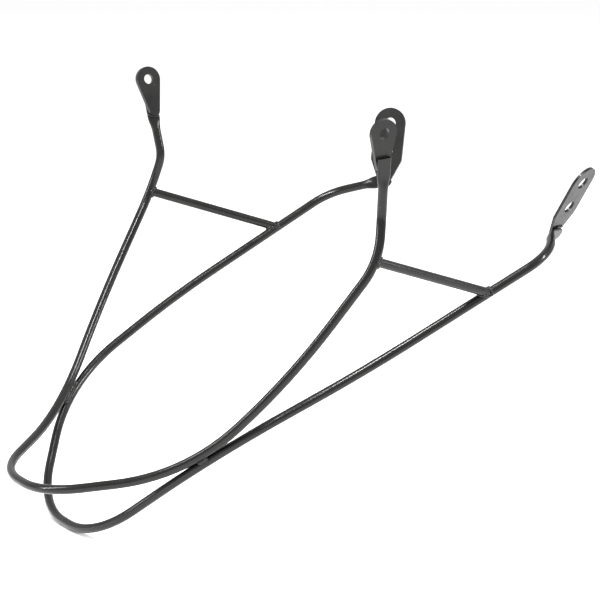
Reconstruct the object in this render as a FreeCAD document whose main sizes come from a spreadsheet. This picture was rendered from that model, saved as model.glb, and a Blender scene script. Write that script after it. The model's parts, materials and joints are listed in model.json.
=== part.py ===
"""Welded tube rack: two bent hoops that meet side by side, two braces, two lugs and two end plates.

The rack is laid out from the line through its two lug holes: +X is to the right, +Y runs to the end
plates, -Y to the two round noses, and +Z is up. Everything is then raised and centred by two datum
cells, so that the lowest point of the tubes is at Z = 0 and the rack is centred on X = 0, Y = 0.
"""
import FreeCAD, Part
import math
import os
import Sketcher
from FreeCAD import Placement, Rotation, Vector

doc = FreeCAD.newDocument("luggage_rack")

# ---------------------------------------------------------------- driving dimensions

SIZES = [
    ("tube_diameter", 8.0),
    ("tube_wall", 1.0),
    ("datum_y", -6.1025),
    ("datum_z", 348.5),
    ("lug_thickness", 4.0),
    ("lug_head_radius", 11.6),
    ("lug_foot_radius", 5.2),
    ("lug_length", 29.0),
    ("lug_hole_diameter", 9.0),
    ("lug_tip_gap", 20.0),
    ("plate_thickness", 2.5),
    ("plate_head_radius", 15.2),
    ("plate_foot_radius", 6.0),
    ("plate_shoulder", 35.0),
    ("plate_shoulder_radius", 8.0),
    ("plate_length", 54.0),
    ("plate_hole_diameter", 11.5),
    ("plate_hole_pitch", 26.0),
    ("plate_tip_lap", 6.0),
    ("crush_flat", 15.0),
    ("crush_taper", 13.0),
    ("crush_width", 12.0),
    ("crush_thickness", 3.2),
    ("weld_radius", 1.5),
    ("groove_radius", 1.9),
    ("groove_half_length", 12.5),
    ("upper_bend_radius", 30.0),
    ("upper_knee_radius", 66.0),
    ("upper_flank_radius", 476.0),
    ("upper_waist_radius", 194.0),
    ("upper_nose_radius", 77.0),
    ("lower_bend_radius", 46.0),
    ("lower_flank_radius", 665.0),
    ("lower_waist_radius", 201.0),
    ("lower_nose_radius", 99.0),
]

# Corners of the right half of each hoop before they are rounded, and where the other pieces join.
POINTS = [
    ("lug_hole", (206.9, 0.0, 0.0)),
    ("upper_bend", (194.0, 6.9, -70.7)),
    ("upper_knee", (202.7, -0.9, -104.3)),
    ("upper_flank", (175.5, -66.1, -197.4)),
    ("upper_waist", (122.2, -133.5, -281.0)),
    ("upper_nose", (40.5, -225.1, -302.7)),
    ("lower_bend", (182.8, 179.8, -118.0)),
    ("lower_flank", (171.8, 8.2, -198.9)),
    ("lower_waist", (142.1, -116.6, -260.6)),
    ("lower_nose", (52.3, -185.0, -344.5)),
    ("crossing", (129.2, -123.9, -263.8)),
    ("brace_foot", (179.1, 121.4, -145.5)),
    ("plate_joint_right", (145.0, 213.5, -109.1)),
    ("plate_joint_left", (-145.0, 220.6, -103.3)),
]

# The two ends of the lower hoop are not bent quite alike, so each plate has its own directions:
# "rise" runs up the plate, and "face" is its outward normal.
DIRECTIONS = [
    ("rise_right", (0.511, 0.147, 0.847)),
    ("face_right", (0.776, 0.346, -0.528)),
    ("rise_left", (-0.153, 0.212, 0.965)),
    ("face_left", (-0.634, 0.728, -0.26)),
]

sheet = doc.addObject("Spreadsheet::Sheet", "Dimensions")
cells = list(SIZES)
for name, triple in POINTS + DIRECTIONS:
    cells += [(name + "_" + axis, value) for axis, value in zip("xyz", triple)]
for row, (alias, value) in enumerate(cells, start=1):
    sheet.set("A%d" % row, alias)
    sheet.set("B%d" % row, str(value))
    sheet.setAlias("B%d" % row, alias)
doc.recompute()


def dim(alias):
    return float(sheet.get(alias))


def direction(name):
    return Vector(dim(name + "_x"), dim(name + "_y"), dim(name + "_z")).normalize()


def point(name):
    """A point of the sheet, moved from the lug line to the rack's own origin."""
    return Vector(dim(name + "_x"), dim(name + "_y") + dim("datum_y"), dim(name + "_z") + dim("datum_z"))


# ---------------------------------------------------------------- small geometry helpers

def unit(vector):
    return Vector(vector).normalize()


def mirrored(vector):
    return Vector(-vector.x, vector.y, vector.z)


def square_to(vector, axis):
    """The unit vector nearest to vector that is square to axis."""
    return unit(vector - axis * vector.dot(axis))


def frame_at(origin, across, normal):
    """A placement with its local X along across and its local Z along normal."""
    return Placement(origin, Rotation(across, normal.cross(across), normal, "ZXY"))


def bent_path(points, radii):
    """One wire of straight runs joined by tangent arcs; every point but the ends is a corner."""
    edges = []
    start = points[0]
    for before, corner, after, radius in zip(points, points[1:], points[2:], radii):
        back = unit(before - corner)
        ahead = unit(after - corner)
        half_turn = (math.pi - back.getAngle(ahead)) / 2
        trim = radius * math.tan(half_turn)
        inward = unit(back + ahead)
        crown = corner + inward * (radius / math.cos(half_turn) - radius)
        arc_start = corner + back * trim
        arc_end = corner + ahead * trim
        edges.append(Part.LineSegment(start, arc_start).toShape())
        edges.append(Part.Arc(arc_start, crown, arc_end).toShape())
        start = arc_end
    edges.append(Part.LineSegment(start, points[-1]).toShape())
    return Part.Wire(edges)


def feature(name, shape):
    """A document object that holds a shape worked out from the sheet."""
    result = doc.addObject("Part::Feature", name)
    result.Label = name
    result.Shape = shape
    return result


# ---------------------------------------------------------------- crushed tube ends

CROWN = 0.02        # the crushed faces are domed by this much, so that their arcs are true arcs
STATIONS = 6        # sections in the stretch where a tube goes from round to flat


def mix(first, last, amount):
    return first + (last - first) * amount


def crushed_ring(centre, along, across, radius, width, thickness, squash):
    """The outline of the tube at one section: a circle at squash 0, a flat oblong at squash 1."""
    place = frame_at(centre, across, along)
    corner_x = mix(radius * math.sqrt(0.5), (width - thickness) / 2, squash)
    corner_y = mix(radius * math.sqrt(0.5), thickness / 2 - CROWN, squash)
    side = mix(radius, width / 2, squash)
    top = mix(radius, thickness / 2, squash)
    corners = [(corner_x, corner_y), (-corner_x, corner_y), (-corner_x, -corner_y), (corner_x, -corner_y)]
    middles = [(0, top), (-side, 0), (0, -top), (side, 0)]
    edges = []
    for index, middle in enumerate(middles):
        ends = (corners[index], middle, corners[(index + 1) % 4])
        arc_points = [place.multVec(Vector(x, y, 0)) for x, y in ends]
        edges.append(Part.Arc(*arc_points).toShape())
    return Part.Wire(edges)


def crushed_end(tube_end, tube_way, flat_start, flat_way, normal, shrink, overrun):
    """The taper and the flat of one tube end, as two solids.

    shrink is taken off the outside all round, which gives the bore, and overrun is added to the flat.
    """
    radius = dim("tube_diameter") / 2 - shrink
    width = dim("crush_width") - 2 * shrink
    thickness = dim("crush_thickness") - 2 * shrink
    span = (flat_start - tube_end).Length
    curve = Part.BezierCurve()
    curve.setPoles([tube_end, tube_end + tube_way * (span / 3), flat_start - flat_way * (span / 3), flat_start])
    rings = []
    for index in range(STATIONS):
        share = index / (STATIONS - 1)
        squash = share * share * (3 - 2 * share)
        along = unit(curve.tangent(share)[0])
        across = square_to(normal.cross(along), along)
        rings.append(crushed_ring(curve.value(share), along, across, radius, width, thickness, squash))
    taper = Part.makeLoft(rings, True, False)
    flat_length = dim("crush_flat") + overrun
    flat_across = unit(normal.cross(flat_way))
    flat_ring = crushed_ring(flat_start, flat_way, flat_across, radius, width, thickness, 1)
    flat = Part.Face(flat_ring).extrude(flat_way * flat_length)
    return [taper, flat]


def tip_cutter(flat_start, flat_way, normal):
    """What is cut off the crushed tip to round it in plan."""
    radius = dim("crush_width") / 2
    height = dim("tube_diameter")
    centre = flat_start + flat_way * (dim("crush_flat") - radius)
    block = Part.makeBox(2 * radius + 2, radius + 1, height, Vector(-radius - 1, 0, -height / 2))
    round_tip = Part.makeCylinder(radius, height, Vector(0, 0, -height / 2))
    cutter = block.cut(round_tip)
    cutter.Placement = frame_at(centre, flat_way.cross(normal), normal)
    return cutter


# ---------------------------------------------------------------- the lugs' and end plates' places

def lap(thickness):
    """From the middle of a crushed end to the middle of a plate that lies flat against it."""
    return (dim("crush_thickness") + dim(thickness)) / 2


def lug_directions():
    """The way the right lug rises, and its outward normal: both follow the tube end that it laps."""
    bend = point("upper_bend")
    hole = point("lug_hole")
    rise = unit(hole - bend)
    for _ in range(6):
        outward = square_to(Vector(1, 0, 0), rise)
        rise = unit(hole + outward * lap("lug_thickness") - bend)
    return rise, square_to(Vector(1, 0, 0), rise)


lug_rise, lug_face = lug_directions()


def lower_end(side):
    """Where the lower hoop's crushed flat starts on one side, the way it runs, and its normal."""
    joint = point("plate_joint_" + side)
    rise = direction("rise_" + side)
    face = square_to(direction("face_" + side), rise)
    bend = point("lower_bend")
    if side == "left":
        bend = mirrored(bend)
    flat_way = square_to(joint - bend, face)
    flat_start = joint - flat_way * (dim("crush_flat") - dim("plate_tip_lap"))
    return bend, flat_start, flat_way, face, rise


# ---------------------------------------------------------------- the hoops

def hoop(name, corner_names, ends, round_tips):
    """One bent tube, crushed at both ends.

    ends holds (bend, flat_start, flat_way, normal) for the right end and for the left one.
    """
    corners = [point(corner) for corner in corner_names]
    radii = [dim(corner + "_radius") for corner in corner_names]
    tube_ends = []
    tube_ways = []
    for bend, flat_start, flat_way, normal in ends:
        way = unit(flat_start - bend)
        tube_ways.append(way)
        tube_ends.append(flat_start - way * dim("crush_taper"))
    points = [tube_ends[0]] + corners + [mirrored(p) for p in reversed(corners)] + [tube_ends[1]]
    path = feature(name + "_path", bent_path(points, radii + radii[::-1]))
    outside = [swept_tube(name + "_outside", path, "Dimensions.tube_diameter / 2", tube_ways[0])]
    bore = [swept_tube(name + "_bore", path, "Dimensions.tube_diameter / 2 - Dimensions.tube_wall",
                       tube_ways[0])]
    cutters = []
    for side, end, tube_end, way in zip(("right", "left"), ends, tube_ends, tube_ways):
        bend, flat_start, flat_way, normal = end
        for part, shrink, overrun, group in (("outside", 0, 0, outside), ("bore", dim("tube_wall"), 1, bore)):
            solids = crushed_end(tube_end, way, flat_start, flat_way, normal, shrink, overrun)
            for piece, solid in zip(("taper", "flat"), solids):
                group.append(feature("_".join((name, side, piece, part)), solid))
        if round_tips:
            cutters.append(feature(name + "_" + side + "_tip", tip_cutter(flat_start, flat_way, normal)))
    solid_hoop = fused(name + "_solid", outside)
    inside = bore + cutters if round_tips else bore
    whole = cut(name, solid_hoop, fused(name + "_inside", inside))
    return whole, solid_hoop, path


def swept_tube(name, path, radius_expression, start_way):
    """A round solid swept along a path: its circle stands square to the path's first run."""
    circle = doc.addObject("Part::Circle", name + "_circle")
    circle.setExpression("Radius", radius_expression)
    circle.Placement = Placement(path.Shape.OrderedVertexes[0].Point, Rotation(Vector(0, 0, 1), start_way))
    sweep = doc.addObject("Part::Sweep", name)
    sweep.Sections = [circle]
    sweep.Spine = (path, [])
    sweep.Solid = True
    sweep.Frenet = False
    return sweep


def fused(name, objects):
    result = doc.addObject("Part::MultiFuse", name)
    result.Label = name
    result.Shapes = objects
    return result


def cut(name, base, tool):
    result = doc.addObject("Part::Cut", name)
    result.Label = name
    result.Base = base
    result.Tool = tool
    return result


lug_tip = point("lug_hole") + lug_face * lap("lug_thickness") - lug_rise * dim("lug_tip_gap")
upper_flat = lug_tip - lug_rise * dim("crush_flat")
upper_right = (point("upper_bend"), upper_flat, lug_rise, lug_face)
upper_left = tuple(mirrored(vector) for vector in upper_right)
upper_names = ["upper_bend", "upper_knee", "upper_flank", "upper_waist", "upper_nose"]
upper_hoop, upper_solid, upper_path = hoop("upper_hoop", upper_names, [upper_right, upper_left], False)

lower_names = ["lower_bend", "lower_flank", "lower_waist", "lower_nose"]
lower_ends = [lower_end("right")[:4], lower_end("left")[:4]]
lower_hoop, lower_solid, lower_path = hoop("lower_hoop", lower_names, lower_ends, True)
doc.recompute()


# ---------------------------------------------------------------- the braces

def nearest(path, target):
    """The point of a path's centre line nearest to target, and the way the line runs there."""
    found = path.Shape.distToShape(Part.Vertex(target))
    place = found[1][0][0]
    step = 0.05
    spots = [place + Vector(*offset) * step for offset in ((1, 1, 1), (-1, -1, -1))]
    ends = [path.Shape.distToShape(Part.Vertex(spot))[1][0][0] for spot in spots]
    return place, unit(ends[0] - ends[1])


def brace(side):
    """A straight tube from the upper hoop's knee to the lower hoop, coped to both."""
    knee = point("upper_knee")
    foot = point("brace_foot")
    if side == "left":
        knee = mirrored(knee)
        foot = mirrored(foot)
    top, top_way = nearest(upper_path, knee)
    bottom, bottom_way = nearest(lower_path, foot)
    name = "brace_" + side
    length = (bottom - top).Length
    place = Placement(top, Rotation(Vector(0, 0, 1), bottom - top))
    cylinders = []
    for part, radius in (("outside", "Dimensions.tube_diameter / 2"),
                         ("bore", "Dimensions.tube_diameter / 2 - Dimensions.tube_wall")):
        cylinder = doc.addObject("Part::Cylinder", name + "_" + part)
        cylinder.setExpression("Radius", radius)
        cylinder.Height = length
        cylinder.Placement = place
        cylinders.append(cylinder)
    blank = cut(name + "_blank", *cylinders)
    whole = cut(name, blank, fused(name + "_copes", [upper_solid, lower_solid]))
    return whole, cylinders[0], (top, top_way, unit(bottom - top)), (bottom, bottom_way, unit(top - bottom))


braces = {side: brace(side) for side in ("right", "left")}


# ---------------------------------------------------------------- lugs and end plates

def flat_body(name, thickness, place):
    """A body with a sketch on its XY plane, placed so that the plate is centred on that plane."""
    body = doc.addObject("PartDesign::Body", name)
    body.Label = name
    body.Placement = place
    plane = [item for item in body.Origin.OriginFeatures if item.Role == "XY_Plane"][0]
    sketch = body.newObject("Sketcher::SketchObject", name + "_outline")
    sketch.AttachmentSupport = (plane, [""])
    sketch.MapMode = "FlatFace"
    pad = body.newObject("PartDesign::Pad", name + "_pad")
    pad.Profile = sketch
    pad.Midplane = True
    pad.setExpression("Length", "Dimensions." + thickness)
    return body, sketch


def constrain(sketch, kind, *where, alias=None):
    """Add one constraint; with an alias, its value follows that cell of the sheet."""
    value = (dim(alias),) if alias else ()
    index = sketch.addConstraint(Sketcher.Constraint(kind, *where, *value))
    if alias:
        sketch.setExpression("Constraints[%d]" % index, "Dimensions." + alias)


def circle_hole(sketch, centre, diameter):
    """A round hole in the outline, whose centre is fixed by the caller's constraints."""
    hole = sketch.addGeometry(Part.Circle(centre, Vector(0, 0, 1), dim(diameter) / 2), False)
    constrain(sketch, "Diameter", hole, alias=diameter)
    return hole


def round_end(sketch, centre, radius, first, last, alias):
    """An arc of the outline, from one angle to another, with its radius on the sheet."""
    base = Part.Circle(centre, Vector(0, 0, 1), radius)
    arc = sketch.addGeometry(Part.ArcOfCircle(base, first, last), False)
    constrain(sketch, "Radius", arc, alias=alias)
    return arc


START, END, CENTRE = 1, 2, 3
ORIGIN, X_AXIS, Y_AXIS = -1, -1, -2


def lug(name, place):
    """A teardrop: a round head about the hole, and straight sides down to a small round foot."""
    body, sketch = flat_body(name, "lug_thickness", place)
    head = dim("lug_head_radius")
    foot = dim("lug_foot_radius")
    length = dim("lug_length")
    lean = math.asin((head - foot) / length)
    foot_centre = Vector(0, -length, 0)
    top = round_end(sketch, Vector(0, 0, 0), head, -lean, math.pi + lean, "lug_head_radius")
    bottom = round_end(sketch, foot_centre, foot, math.pi + lean, 2 * math.pi - lean, "lug_foot_radius")
    out = Vector(math.cos(lean), -math.sin(lean), 0)
    out_left = mirrored(out)
    right = sketch.addGeometry(Part.LineSegment(foot_centre + out * foot, out * head), False)
    left = sketch.addGeometry(Part.LineSegment(out_left * head, foot_centre + out_left * foot), False)
    constrain(sketch, "Coincident", top, CENTRE, ORIGIN, START)
    constrain(sketch, "PointOnObject", bottom, CENTRE, Y_AXIS)
    constrain(sketch, "DistanceY", bottom, CENTRE, top, CENTRE, alias="lug_length")
    constrain(sketch, "Tangent", right, END, top, START)
    constrain(sketch, "Tangent", top, END, left, START)
    constrain(sketch, "Tangent", left, END, bottom, START)
    constrain(sketch, "Tangent", bottom, END, right, START)
    hole = circle_hole(sketch, Vector(0, 0, 0), "lug_hole_diameter")
    constrain(sketch, "Coincident", hole, CENTRE, ORIGIN, START)
    return body


def end_plate(name, place):
    """A long plate: round head, parallel sides to the shoulders, then a taper to a round foot."""
    body, sketch = flat_body(name, "plate_thickness", place)
    head = dim("plate_head_radius")
    foot = dim("plate_foot_radius")
    shoulder = dim("plate_shoulder")
    length = dim("plate_length")
    drop = length - shoulder
    reach = math.hypot(head, drop)
    foot_centre = Vector(0, -length, 0)
    touch = math.atan2(drop, head) - math.acos(foot / reach)
    out = Vector(math.cos(touch), math.sin(touch), 0)
    out_left = mirrored(out)
    corner = Vector(head, -shoulder, 0)
    top = round_end(sketch, Vector(0, 0, 0), head, 0, math.pi, "plate_head_radius")
    bottom = round_end(sketch, foot_centre, foot, math.pi - touch, 2 * math.pi + touch, "plate_foot_radius")
    lines = []
    for start, end in ((corner, Vector(head, 0, 0)), (Vector(-head, 0, 0), mirrored(corner)),
                       (mirrored(corner), foot_centre + out_left * foot), (foot_centre + out * foot, corner)):
        lines.append(sketch.addGeometry(Part.LineSegment(start, end), False))
    right, left, left_taper, right_taper = lines
    constrain(sketch, "Coincident", top, CENTRE, ORIGIN, START)
    constrain(sketch, "PointOnObject", bottom, CENTRE, Y_AXIS)
    constrain(sketch, "DistanceY", bottom, CENTRE, top, CENTRE, alias="plate_length")
    constrain(sketch, "Tangent", right, END, top, START)
    constrain(sketch, "Tangent", top, END, left, START)
    constrain(sketch, "Vertical", right)
    constrain(sketch, "Vertical", left)
    constrain(sketch, "Coincident", left, END, left_taper, START)
    constrain(sketch, "Tangent", left_taper, END, bottom, START)
    constrain(sketch, "Tangent", bottom, END, right_taper, START)
    constrain(sketch, "Coincident", right_taper, END, right, START)
    constrain(sketch, "DistanceY", right, START, top, CENTRE, alias="plate_shoulder")
    constrain(sketch, "DistanceY", left, END, top, CENTRE, alias="plate_shoulder")
    hole = circle_hole(sketch, Vector(0, 0, 0), "plate_hole_diameter")
    constrain(sketch, "Coincident", hole, CENTRE, ORIGIN, START)
    second = circle_hole(sketch, Vector(0, -dim("plate_hole_pitch"), 0), "plate_hole_diameter")
    constrain(sketch, "PointOnObject", second, CENTRE, Y_AXIS)
    constrain(sketch, "DistanceY", second, CENTRE, top, CENTRE, alias="plate_hole_pitch")
    doc.recompute()
    pad = body.Tip
    shoulders = [
        "Edge%d" % number
        for number, edge in enumerate(pad.Shape.Edges, start=1)
        if is_shoulder(edge, head, shoulder)
    ]
    rounding = body.newObject("PartDesign::Fillet", name + "_shoulders")
    rounding.Base = (pad, shoulders)
    rounding.setExpression("Radius", "Dimensions.plate_shoulder_radius")
    body.Tip = rounding
    return body


def is_shoulder(edge, half_width, drop):
    """True for the two short edges through the plate where its sides start to taper."""
    middle = edge.CenterOfMass
    off_side = abs(abs(middle.x) - half_width)
    return off_side < 0.01 and abs(middle.y + drop) < 0.01 and abs(middle.z) < 0.01


lug_places = {"right": frame_at(point("lug_hole"), lug_rise.cross(lug_face), lug_face)}
lug_places["left"] = frame_at(mirrored(point("lug_hole")),
                              mirrored(lug_rise).cross(mirrored(lug_face)), mirrored(lug_face))
lugs = {side: lug("lug_" + side, lug_places[side]) for side in ("left", "right")}

plate_places = {}
for side in ("left", "right"):
    bend, flat_start, flat_way, face, rise = lower_end(side)
    upper_hole = point("plate_joint_" + side) - face * lap("plate_thickness") + rise * dim("plate_length")
    plate_places[side] = frame_at(upper_hole, rise.cross(face), face)
end_plates = {side: end_plate("end_plate_" + side, plate_places[side]) for side in ("left", "right")}
doc.recompute()


# ---------------------------------------------------------------- welds

RIPPLE = 0.09       # how much the bead swells and shrinks along its length


def bead(points, radius):
    """A rippled run of weld metal: balls that overlap along a line of points."""
    balls = []
    for index, centre in enumerate(points):
        ripple = 1 + RIPPLE * math.sin(2.4 * index)
        balls.append(Part.makeSphere(radius * ripple, centre))
    return balls[0].multiFuse(balls[1:])


def weld(name, beads, neighbours):
    """The beads of one weld, cut back to the surfaces of the pieces that they join."""
    metal = trimmed(beads, [piece.Shape for piece in neighbours])
    return feature(name, metal)


def trimmed(beads, neighbours):
    """Each bead without what lies in its neighbours; crumbs beside the main lump are dropped."""
    runs = []
    for metal in beads:
        rest = metal.cut(neighbours)
        runs.append(max(rest.Solids, key=lambda solid: solid.Volume))
    return runs[0] if len(runs) == 1 else Part.makeCompound(runs)


def rippled_weld(name, lines, radius, neighbours):
    """A weld of rippled beads, one along each line of points.

    Balls that graze a tube can spoil the cut, so the bead grows by a hair until the cut is clean.
    """
    shapes = [piece.Shape for piece in neighbours]
    for attempt in range(12):
        grown = radius + 0.017 * attempt
        metal = trimmed([bead(points, grown) for points in lines], shapes)
        if metal.isValid() and metal.common(shapes[0].fuse(shapes[1:])).Volume < 0.01:
            return feature(name, metal)
    raise RuntimeError("%s could not be cut cleanly" % name)


def lap_run(place, centre, radius, first, last):
    """A smooth run of weld round an arc in a plate's own plane; angles in degrees from its local X."""
    run = Part.makeTorus(radius + LAP_OUT, LAP_BEAD, Vector(0, 0, -LAP_OUT), Vector(0, 0, 1), 0, 360, last - first)
    run.Placement = place.multiply(Placement(centre, Rotation(Vector(0, 0, 1), first)))
    return run


def saddle(joint, count):
    """Points round the foot of a brace, where its outside meets the outside of a hoop."""
    centre, hoop_way, brace_way = joint
    radius = dim("tube_diameter") / 2
    side = unit(brace_way.cross(hoop_way))
    front = side.cross(brace_way)
    lift = brace_way - hoop_way * brace_way.dot(hoop_way)
    spots = []
    for index in range(count):
        angle = 2 * math.pi * index / count
        start = (side * math.cos(angle) + front * math.sin(angle)) * radius
        spread = start - hoop_way * start.dot(hoop_way)
        a = lift.dot(lift)
        b = spread.dot(lift)
        c = spread.dot(spread) - radius * radius
        rise = (math.sqrt(max(b * b - a * c, 0)) - b) / a
        spots.append(centre + start + brace_way * rise)
    return spots


def groove_points(facing, half_length, step):
    """Points along the right groove between the hoops, on the outer side (1) or the inner side (-1)."""
    meet = nearest(upper_path, point("crossing"))[0]
    spots = []
    count = int(2 * half_length / step) + 1
    way = nearest(upper_path, meet)[1]
    for index in range(count):
        on_upper, along = nearest(upper_path, meet + way * (index * step - half_length))
        on_lower = nearest(lower_path, on_upper)[0]
        gap = unit(on_lower - on_upper)
        outward = unit(along.cross(gap))
        if outward.x * facing < 0:
            outward = -outward
        spots.append((on_upper + on_lower) * 0.5 + outward * GROOVE_DEPTH)
    return spots


GROOVE_DEPTH = 2.5          # from the line where the hoops touch to the middle of the bead
GROOVE_STEP = 1.6
SADDLE_BALLS = 30
LAP_BEAD = 1.35             # radius of the run round a lapped plate's foot
LAP_OUT = 0.25              # how far that run's middle stands off both the edge and the face
FACE_RUN = 9.0              # length of the run along a crushed tube on the end plate's face


def brace_welds(side):
    """The fillet rings round both feet of one brace."""
    _, brace_solid, top_joint, bottom_joint = braces[side]
    for level, joint, hoop_solid in (("upper", top_joint, upper_solid), ("lower", bottom_joint, lower_solid)):
        ring = saddle(joint, SADDLE_BALLS)
        name = "brace_weld_%s_%s" % (side, level)
        yield rippled_weld(name, [ring], dim("weld_radius"), [brace_solid, hoop_solid])


def crossing_weld(side):
    """A long run in the inner groove between the hoops, and a short one in the outer groove."""
    inner_line = groove_points(-1, dim("groove_half_length"), GROOVE_STEP)
    outer_line = groove_points(1, 2 * GROOVE_STEP, GROOVE_STEP)
    lines = [inner_line, outer_line]
    return rippled_weld("crossing_weld_" + side, lines, dim("groove_radius"), [upper_solid, lower_solid])


def lug_weld(side):
    """The run round the lug's foot, on the crushed tube."""
    foot = Vector(0, -dim("lug_length"), dim("lug_thickness") / 2)
    foot_run = lap_run(lug_places[side], foot, dim("lug_foot_radius"), 202, 338)
    return weld("lug_weld_" + side, [foot_run], [upper_solid, lugs[side]])


def plate_weld(side):
    """One run round the foot of an end plate, and one along the crushed tube on its other face."""
    place = plate_places[side]
    foot = Vector(0, -dim("plate_length"), dim("plate_thickness") / 2)
    foot_run = lap_run(place, foot, dim("plate_foot_radius"), 185, 355)
    _, _, flat_way, face, rise = lower_end(side)
    across = square_to(rise, flat_way)
    middle = place.multVec(foot) + across * (dim("crush_width") / 2 + LAP_OUT) + face * LAP_OUT
    face_run = Part.makeCylinder(LAP_BEAD, FACE_RUN, middle - flat_way * (FACE_RUN / 2), flat_way)
    return weld("plate_weld_" + side, [foot_run, face_run], [lower_solid, end_plates[side]])


# The hoops and braces are mirror images of each other, so the left welds between them are the right
# ones mirrored. The lugs' and end plates' welds are made one by one.
right_welds = [crossing_weld("right")] + list(brace_welds("right"))
welds = right_welds + [make(side) for make in (lug_weld, plate_weld) for side in ("right", "left")]
for right_weld in right_welds:
    shape = right_weld.Shape.mirror(Vector(0, 0, 0), Vector(1, 0, 0))
    welds.append(feature(right_weld.Label.replace("right", "left"), shape))

# ---------------------------------------------------------------- checks and files

pieces = [upper_hoop, lower_hoop] + [braces[side][0] for side in braces]
pieces += list(lugs.values()) + list(end_plates.values()) + welds
doc.recompute()

for item in doc.Objects:
    if "Invalid" in item.State or "Error" in item.State:
        raise RuntimeError("%s did not build: %s" % (item.Name, item.State))

os.makedirs("parts", exist_ok=True)
for piece in pieces:
    shape = piece.Shape
    if shape.isNull() or not shape.isValid() or not shape.Solids:
        raise RuntimeError("%s has no valid solid" % piece.Label)
    shape.exportStep("parts/%s.step" % piece.Label)
    print("%-26s solids %d  volume %9.1f mm3" % (piece.Label, len(shape.Solids), shape.Volume))
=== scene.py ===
"""The looks of the welded tube rack: black paint over bent tube, flat lugs, end plates and weld beads.

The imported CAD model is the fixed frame. Lengths are in metres, apart from the lens and the sensor, which are
in millimetres. The power of a light is in watts.
"""

import json

import bpy
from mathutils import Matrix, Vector


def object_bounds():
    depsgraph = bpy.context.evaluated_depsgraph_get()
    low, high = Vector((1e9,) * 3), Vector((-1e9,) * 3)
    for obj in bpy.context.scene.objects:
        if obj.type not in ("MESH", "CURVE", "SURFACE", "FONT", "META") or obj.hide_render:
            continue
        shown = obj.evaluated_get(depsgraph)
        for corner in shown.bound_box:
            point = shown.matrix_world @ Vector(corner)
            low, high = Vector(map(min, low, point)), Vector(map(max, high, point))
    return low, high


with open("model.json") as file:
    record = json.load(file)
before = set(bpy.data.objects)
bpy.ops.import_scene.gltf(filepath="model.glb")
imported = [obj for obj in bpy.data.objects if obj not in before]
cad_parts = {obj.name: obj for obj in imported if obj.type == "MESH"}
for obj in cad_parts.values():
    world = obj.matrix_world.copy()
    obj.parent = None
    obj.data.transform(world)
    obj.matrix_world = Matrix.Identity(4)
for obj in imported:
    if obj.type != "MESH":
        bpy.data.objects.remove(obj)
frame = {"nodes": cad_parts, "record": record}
cad_low, cad_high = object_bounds()
cad_low = Vector(cad_low)
cad_high = Vector(cad_high)
scene = bpy.context.scene

# ---------------------------------------------------------------- camera

LENS = 150.0
SENSOR_WIDTH = 36.0
CLIP_END = 50.0
CAMERA_OFFSET = Vector((1.8629, -1.0272, 0.2724))       # from the middle of the line through the lug holes
CAMERA_WAY = Vector((-0.8487, 0.4878, -0.2042))


def lug_line_middle():
    """The point half way between the two lug holes."""
    mounts = frame["record"]["mounts"]
    places = [Vector(mount["pos_m"]) for mount in mounts if "lug_hole" in mount["name"]]
    return (places[0] + places[1]) / 2


def aim(thing, way):
    """Turn a camera or a light to face along a direction."""
    thing.rotation_euler = way.to_track_quat("-Z", "Y").to_euler()


def make_camera():
    data = bpy.data.cameras.new("camera")
    data.lens = LENS
    data.sensor_width = SENSOR_WIDTH
    data.clip_end = CLIP_END
    camera = bpy.data.objects.new("camera", data)
    camera.location = lug_line_middle() + CAMERA_OFFSET
    aim(camera, CAMERA_WAY)
    scene.collection.objects.link(camera)
    scene.camera = camera


# ---------------------------------------------------------------- floor and light

FLOOR_SIZE = 30.0
FLOOR_COLOUR = (0.93, 0.93, 0.93, 1.0)
FLOOR_ROUGHNESS = 0.9
FLOOR_SPECULAR = 0.1

WORLD_COLOUR = (1.0, 1.0, 1.0, 1.0)
WORLD_STRENGTH = 1.0

STRIPS = [                   # name, place, width and length, power
    ("overhead_strip", (0.6, -0.5, 1.9), (0.10, 1.5), 70.0),
    ("side_strip", (1.2, 1.7, 1.2), (0.08, 1.2), 26.0),
    ("left_strip", (-0.7, -1.9, 1.2), (0.08, 1.4), 30.0),
]


def make_floor():
    half = FLOOR_SIZE / 2
    sides = [(-half, -half), (half, -half), (half, half), (-half, half)]
    corners = [(x, y, cad_low.z) for x, y in sides]
    mesh = bpy.data.meshes.new("floor")
    mesh.from_pydata(corners, [], [(0, 1, 2, 3)])
    floor = bpy.data.objects.new("floor", mesh)
    scene.collection.objects.link(floor)
    material = bpy.data.materials.new("pale_floor")
    material.use_nodes = True
    shader = material.node_tree.nodes["Principled BSDF"]
    shader.inputs["Base Color"].default_value = FLOOR_COLOUR
    shader.inputs["Roughness"].default_value = FLOOR_ROUGHNESS
    shader.inputs["Specular IOR Level"].default_value = FLOOR_SPECULAR
    mesh.materials.append(material)


def area_light(name, place, size, power):
    """A soft rectangular light that faces the middle of the rack."""
    data = bpy.data.lights.new(name, "AREA")
    data.shape = "RECTANGLE"
    data.size, data.size_y = size
    data.energy = power
    light = bpy.data.objects.new(name, data)
    light.location = place
    middle = (cad_low + cad_high) / 2
    aim(light, middle - light.location)
    scene.collection.objects.link(light)


def make_lights():
    world = bpy.data.worlds.new("studio")
    world.use_nodes = True
    backdrop = world.node_tree.nodes["Background"]
    backdrop.inputs["Color"].default_value = WORLD_COLOUR
    backdrop.inputs["Strength"].default_value = WORLD_STRENGTH
    scene.world = world
    scene.view_settings.view_transform = "Standard"
    for strip in STRIPS:
        area_light(*strip)


# ---------------------------------------------------------------- materials

# The Mix node's colour sockets share their names with its other sockets, so they are found by number.
MIX_FIRST = 6
MIX_SECOND = 7
MIX_RESULT = 2


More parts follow.
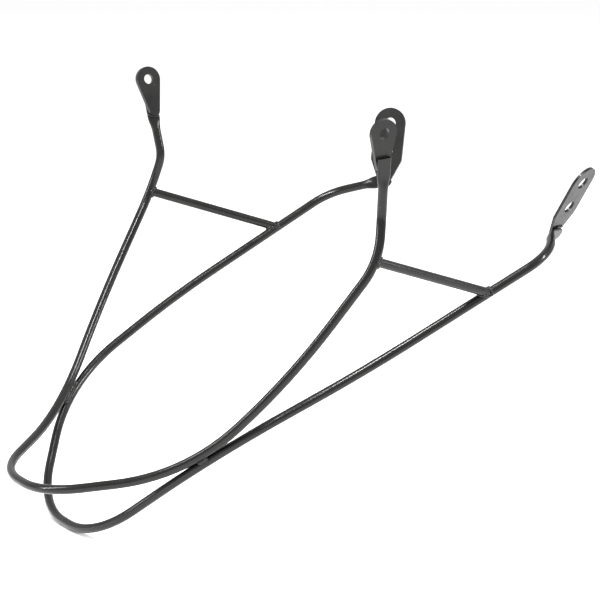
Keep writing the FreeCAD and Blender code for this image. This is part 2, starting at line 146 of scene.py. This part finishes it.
class Nodes:
    """Short names for the shader nodes that the paints share."""

    def __init__(self, name):
        self.material = bpy.data.materials.new(name)
        self.material.use_nodes = True
        self.tree = self.material.node_tree
        self.shader = self.tree.nodes["Principled BSDF"]
        self.place = self.tree.nodes.new("ShaderNodeTexCoord").outputs["Object"]

    def link(self, source, target):
        self.tree.links.new(source, target)

    def plain(self, colour):
        """One colour, the same everywhere."""
        node = self.tree.nodes.new("ShaderNodeRGB")
        node.outputs["Color"].default_value = (*colour, 1.0)
        return node.outputs["Color"]

    def noise(self, scale, detail=3.0, roughness=0.5, stretch=None):
        """Smooth noise; scale is in lumps per metre."""
        node = self.tree.nodes.new("ShaderNodeTexNoise")
        node.inputs["Scale"].default_value = scale
        node.inputs["Detail"].default_value = detail
        node.inputs["Roughness"].default_value = roughness
        source = self.place
        if stretch:
            mapping = self.tree.nodes.new("ShaderNodeMapping")
            mapping.inputs["Scale"].default_value = stretch
            self.link(self.place, mapping.inputs["Vector"])
            source = mapping.outputs["Vector"]
        self.link(source, node.inputs["Vector"])
        return node.outputs["Fac"]

    def ramp(self, source, stops):
        """Colours or greys along a noise; stops are (position, colour)."""
        node = self.tree.nodes.new("ShaderNodeValToRGB")
        for element, (position, colour) in zip(node.color_ramp.elements, stops):
            element.position = position
            element.color = (*colour, 1.0)
        self.link(source, node.inputs["Fac"])
        return node.outputs["Color"]

    def mix(self, amount, first, second):
        """The first colour where the amount is 0, the second where it is 1."""
        node = self.tree.nodes.new("ShaderNodeMix")
        node.data_type = "RGBA"
        self.link(amount, node.inputs["Factor"])
        self.link(first, node.inputs[MIX_FIRST])
        self.link(second, node.inputs[MIX_SECOND])
        return node.outputs[MIX_RESULT]

    def bump(self, source, strength, distance, under=None):
        """Relief from a noise, on top of any relief under it."""
        node = self.tree.nodes.new("ShaderNodeBump")
        node.inputs["Strength"].default_value = strength
        node.inputs["Distance"].default_value = distance
        self.link(source, node.inputs["Height"])
        if under:
            self.link(under, node.inputs["Normal"])
        return node.outputs["Normal"]


def grey(level):
    return (level, level, level)


PAINT_DEEP = (0.0030, 0.0030, 0.0028)
PAINT_THIN = (0.0065, 0.0064, 0.0058)
DUST = (0.022, 0.021, 0.018)
CHIP = (0.060, 0.058, 0.054)

TONE_SCALE = 26.0
DUST_SCALE = 210.0
CHIP_SCALE = 420.0
ROUGHNESS_SCALE = 70.0
SCUFF_SCALE = 130.0
PEEL_SCALE = 620.0
LUMP_SCALE = 330.0

# Each pair of stops says where along its noise a look starts and ends, and what it is there.
TONE_STOPS = [(0.35, PAINT_DEEP), (0.70, PAINT_THIN)]
DUST_STOPS = [(0.62, grey(0.0)), (0.86, grey(0.45))]
CHIP_STOPS = [(0.765, grey(0.0)), (0.785, grey(0.7))]
SCUFF_STOPS = [(0.66, grey(0.0)), (0.74, grey(0.5))]
SCUFF_ROUGHNESS = [(0.0, grey(0.5)), (1.0, grey(0.6))]
SMOOTHEST = (0.30, -0.06)    # where along its noise, and how far from the paint's own roughness
ROUGHEST = (0.75, 0.10)

SCUFF_STRETCH = (1.0, 0.25, 4.0)
PEEL_DEPTH = 0.00006
LUMP_DEPTH = 0.0006
SPECULAR = 0.24
COAT = 0.12
COAT_ROUGHNESS = 0.06


def paint_colour(nodes):
    """Black that varies softly, with fine dust and tiny chips."""
    base = nodes.ramp(nodes.noise(TONE_SCALE), TONE_STOPS)
    dust_amount = nodes.ramp(nodes.noise(DUST_SCALE, detail=6.0, roughness=0.7), DUST_STOPS)
    dusty = nodes.mix(dust_amount, base, nodes.plain(DUST))
    chip_amount = nodes.ramp(nodes.noise(CHIP_SCALE, detail=2.0, roughness=0.4), CHIP_STOPS)
    return nodes.mix(chip_amount, dusty, nodes.plain(CHIP))


def paint_roughness(nodes, roughness):
    """Roughness that varies softly about the paint's own, with small scuffs."""
    stops = [(position, grey(roughness + change)) for position, change in (SMOOTHEST, ROUGHEST)]
    clean = nodes.ramp(nodes.noise(ROUGHNESS_SCALE, detail=5.0, roughness=0.65), stops)
    scuffs = nodes.noise(SCUFF_SCALE, detail=4.0, roughness=0.6, stretch=SCUFF_STRETCH)
    return nodes.mix(nodes.ramp(scuffs, SCUFF_STOPS), clean, nodes.ramp(scuffs, SCUFF_ROUGHNESS))


def paint_relief(nodes, peel, lumps):
    """Orange peel and, on a weld, coarser lumps."""
    relief = nodes.bump(nodes.noise(PEEL_SCALE, detail=1.0), peel, PEEL_DEPTH)
    if lumps:
        coarse = nodes.noise(LUMP_SCALE, roughness=0.6)
        relief = nodes.bump(coarse, lumps, LUMP_DEPTH, relief)
    return relief


def paint(name, roughness, peel, lumps=0.0):
    """Black paint; peel and lumps say how strongly its two kinds of relief show."""
    nodes = Nodes(name)
    inputs = nodes.shader.inputs
    nodes.link(paint_colour(nodes), inputs["Base Color"])
    nodes.link(paint_roughness(nodes, roughness), inputs["Roughness"])
    nodes.link(paint_relief(nodes, peel, lumps), inputs["Normal"])
    inputs["Specular IOR Level"].default_value = SPECULAR
    inputs["Coat Weight"].default_value = COAT
    inputs["Coat Roughness"].default_value = COAT_ROUGHNESS
    return nodes.material


# ---------------------------------------------------------------- the rack's own pieces

EDGE_BREAK = 0.0004          # how far the paint rounds the edges of a cut plate
EDGE_SEGMENTS = 2
EDGE_ANGLE = 0.9             # radians; only sharper edges than this are rounded


def finish_piece(node, material, edge_break=0.0):
    """Give a CAD node its material and, on a plate, softly rounded edges."""
    piece = frame["nodes"][node]
    for slot in piece.material_slots:
        slot.material = material
    if edge_break:
        bevel = piece.modifiers.new("edge_break", "BEVEL")
        bevel.width = edge_break
        bevel.segments = EDGE_SEGMENTS
        bevel.limit_method = "ANGLE"
        bevel.angle_limit = EDGE_ANGLE


make_camera()
make_floor()
make_lights()

tube_paint = paint("black_paint_on_tube", roughness=0.20, peel=0.07)
plate_paint = paint("black_paint_on_plate", roughness=0.38, peel=0.12)
weld_paint = paint("black_paint_on_weld", roughness=0.22, peel=0.10, lumps=0.35)

for node in frame["nodes"]:
    if "weld" in node:
        finish_piece(node, weld_paint)
    elif "lug" in node or "plate" in node:
        finish_piece(node, plate_paint, EDGE_BREAK)
    else:
        finish_piece(node, tube_paint)
